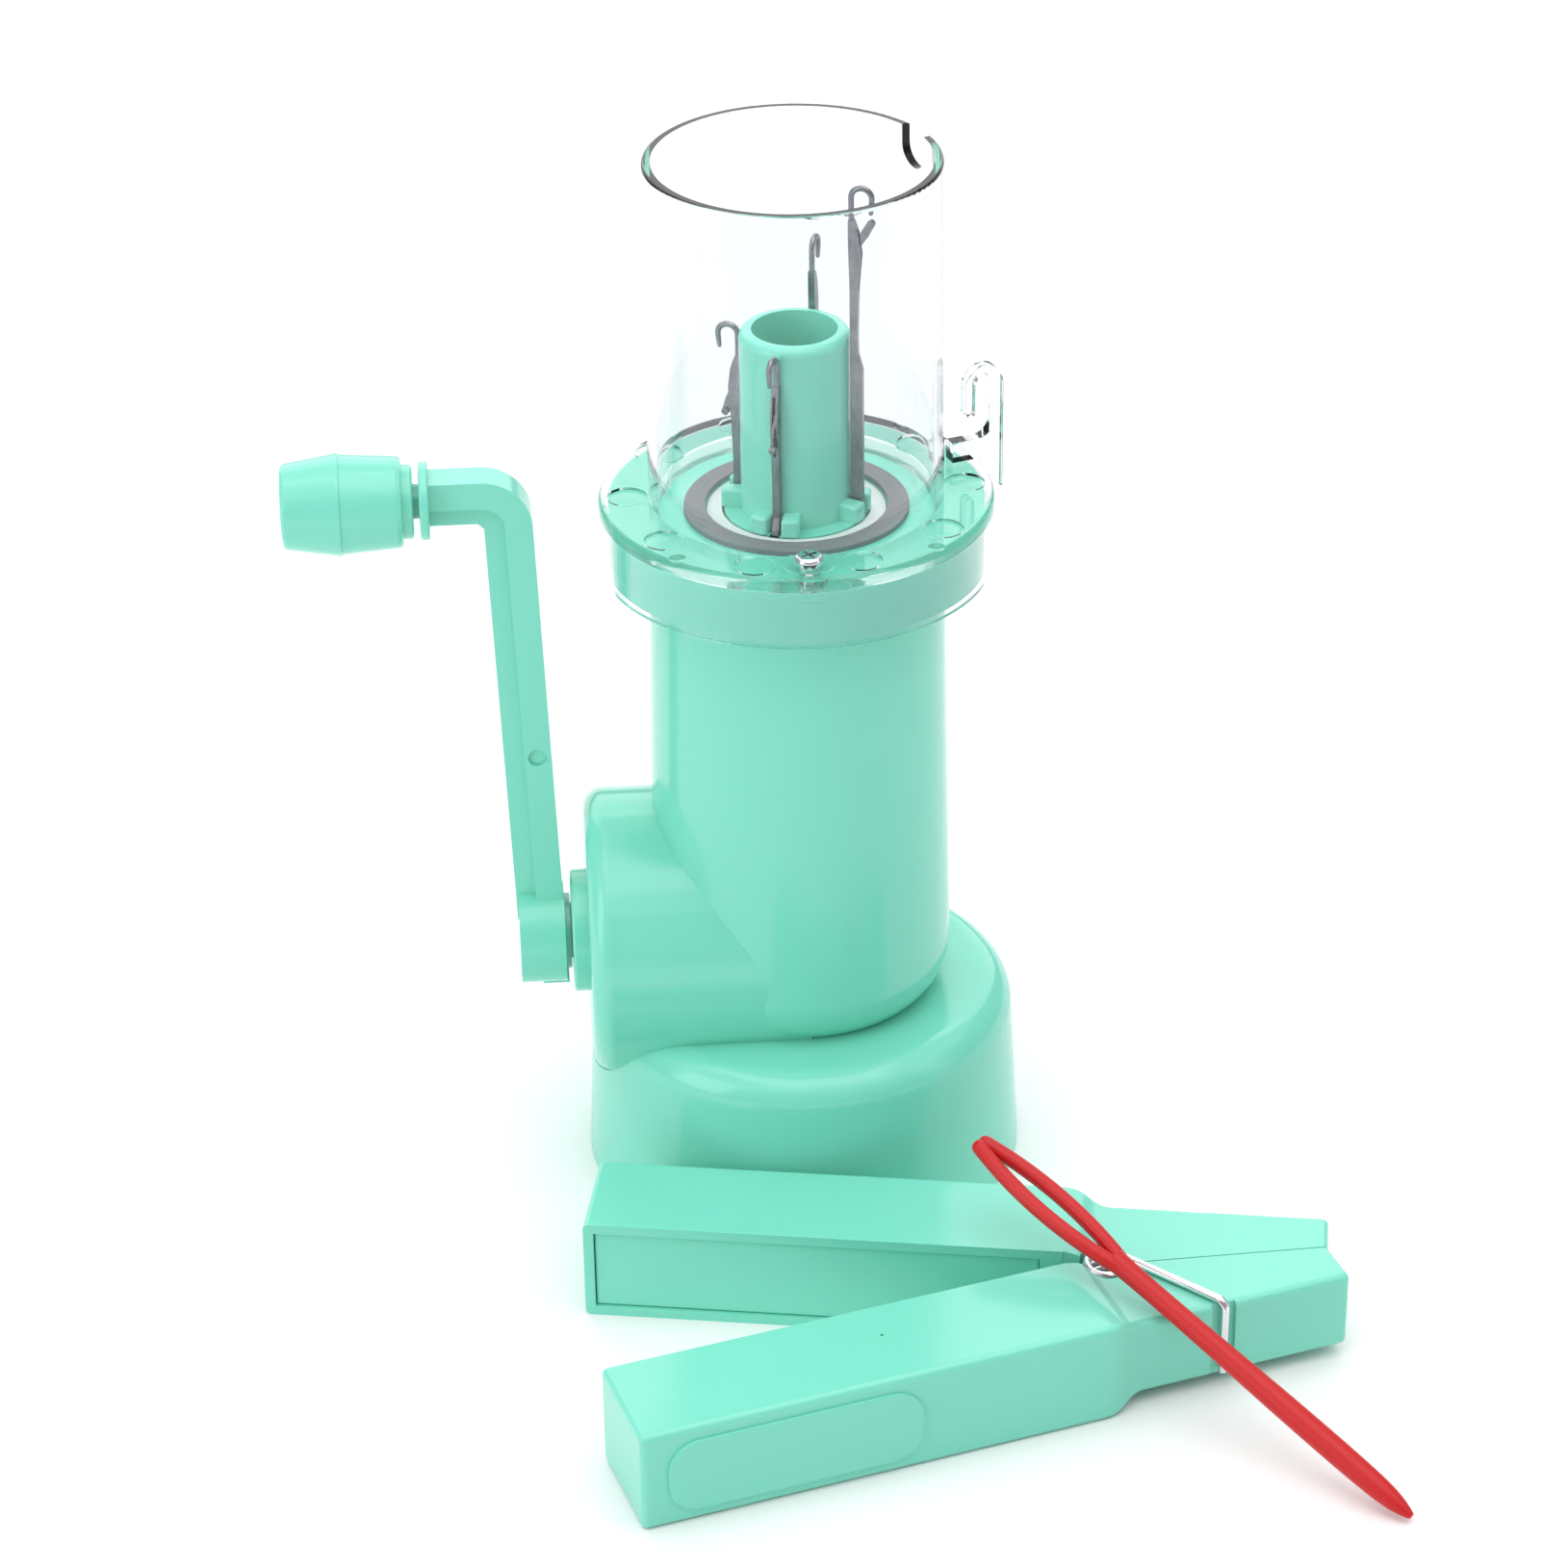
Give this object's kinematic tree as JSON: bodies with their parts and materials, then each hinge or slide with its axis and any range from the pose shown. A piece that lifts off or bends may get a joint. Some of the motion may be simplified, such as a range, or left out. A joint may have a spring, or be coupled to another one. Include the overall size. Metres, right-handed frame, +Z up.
{
  "type": "knitting machine",
  "caption": "Hand-cranked cord knitting mill with a clear yarn tube, latch needles and bevel gears, with its spring clip weight and plastic yarn needle.",
  "frame": {"origin": "on the vertical tube axis, at the mouth of the cord outlet, in the plane the foot stands on", "axes": "+Z up along the tube, the crank shaft lies along X with the crank on the -X side, the front of the machine faces -Y"},
  "size_m": [0.178, 0.1622, 0.1924],
  "materials": {
    "green_plastic": "smooth glossy moulded plastic",
    "clear_plastic": "clear polished plastic",
    "pale_plastic": "satin moulded plastic",
    "gear_plastic": "satin moulded plastic",
    "grey_ring": "satin",
    "bright_steel": "bright nickel plated",
    "needle_steel": "polished steel",
    "weight_steel": "plain cut steel",
    "red_plastic": "smooth moulded plastic"
  },
  "bodies": {
    "machine": {"body": "green_plastic", "base_cover": "green_plastic", "base_cover_screws": "bright_steel", "gear_cover": "green_plastic", "crank_bush": "green_plastic", "top_collar": "green_plastic", "grey_ring": "grey_ring", "clear_cover": "clear_plastic", "yarn_guide": "clear_plastic", "cover_screws": "bright_steel", "lower_cam": "pale_plastic", "upper_cam": "pale_plastic", "bearing_ring": "gear_plastic"},
    "needle_head": {"needle_cylinder": "green_plastic", "cylinder_gear": "gear_plastic", "needle_retainer_ring": "bright_steel"},
    "crank": {"crank_gear": "gear_plastic", "crank_shaft": "weight_steel", "crank_arm": "green_plastic", "arm_screw": "bright_steel"},
    "crank_knob": {"knob": "green_plastic"},
    "clip_rear_half": {"clip_rear": "green_plastic", "clip_rear_lid": "green_plastic", "clip_rear_weight": "weight_steel", "clip_spring": "bright_steel"},
    "clip_front_half": {"clip_front": "green_plastic", "clip_front_lid": "green_plastic", "clip_front_weight": "weight_steel", "clip_spring_front_arm": "bright_steel"},
    "yarn_needle": {"yarn_needle": "red_plastic"},
    "hook_needle_1": {"needle_1": "needle_steel"},
    "hook_latch_1": {"latch_1": "needle_steel"},
    "hook_needle_2": {"needle_2": "needle_steel"},
    "hook_latch_2": {"latch_2": "needle_steel"},
    "hook_needle_3": {"needle_3": "needle_steel"},
    "hook_latch_3": {"latch_3": "needle_steel"},
    "hook_needle_4": {"needle_4": "needle_steel"},
    "hook_latch_4": {"latch_4": "needle_steel"}
  },
  "joints": [
    {"name": "crank_turn", "type": "hinge", "parent": "machine", "child": "crank", "pos_m": [-0.0385, 0, 0.0458], "axis": [1, 0, 0], "continuous": true},
    {"name": "knob_spin", "type": "hinge", "parent": "crank", "child": "crank_knob", "pos_m": [-0.074, 0, 0.1328], "axis": [1, 0, 0], "continuous": true},
    {"name": "head_turn", "type": "hinge", "parent": "machine", "child": "needle_head", "pos_m": [0, 0, 0.09], "axis": [0, 0, 1], "continuous": true},
    {"name": "needle_1_rise", "type": "slide", "parent": "needle_head", "child": "hook_needle_1", "axis": [0, 0, 1], "range_m": [0, 0.027]},
    {"name": "latch_1_swing", "type": "hinge", "parent": "hook_needle_1", "child": "hook_latch_1", "pos_m": [-0.00403, -0.00997, 0.1507], "axis": [0.9272, -0.3746, 0], "range_deg": [-140, 0]},
    {"name": "needle_2_rise", "type": "slide", "parent": "needle_head", "child": "hook_needle_2", "axis": [0, 0, 1], "range_m": [-0.027, 0]},
    {"name": "latch_2_swing", "type": "hinge", "parent": "hook_needle_2", "child": "hook_latch_2", "pos_m": [0.00997, -0.00403, 0.1777], "axis": [0.3746, 0.9272, 0], "range_deg": [-6.7, 133.3]},
    {"name": "needle_3_rise", "type": "slide", "parent": "needle_head", "child": "hook_needle_3", "axis": [0, 0, 1], "range_m": [-0.0124, 0.0146]},
    {"name": "latch_3_swing", "type": "hinge", "parent": "hook_needle_3", "child": "hook_latch_3", "pos_m": [0.00403, 0.00997, 0.1631], "axis": [-0.9272, 0.3746, 0], "range_deg": [-140, 0]},
    {"name": "needle_4_rise", "type": "slide", "parent": "needle_head", "child": "hook_needle_4", "axis": [0, 0, 1], "range_m": [0, 0.027]},
    {"name": "latch_4_swing", "type": "hinge", "parent": "hook_needle_4", "child": "hook_latch_4", "pos_m": [-0.00997, 0.00403, 0.1507], "axis": [-0.3746, -0.9272, 0], "range_deg": [-140, 0]},
    {"name": "clip_lift", "type": "slide", "parent": "machine", "child": "clip_rear_half", "axis": [0, 0, 1], "range_m": [0, 0.15]},
    {"name": "clip_squeeze", "type": "hinge", "parent": "clip_rear_half", "child": "clip_front_half", "pos_m": [0.0462, -0.07, 0.0095], "axis": [0, 0, -1], "range_deg": [0, 10], "stiffness_Nm_per_rad": 0.6, "springref_deg": -17.19},
    {"name": "yarn_needle_lift", "type": "slide", "parent": "clip_rear_half", "child": "yarn_needle", "axis": [0, 0, 1], "range_m": [0, 0.1]}
  ],
  "couplings": [
    {"joint": "head_turn", "follows": "crank_turn", "ratio": 1.2}
  ]
}
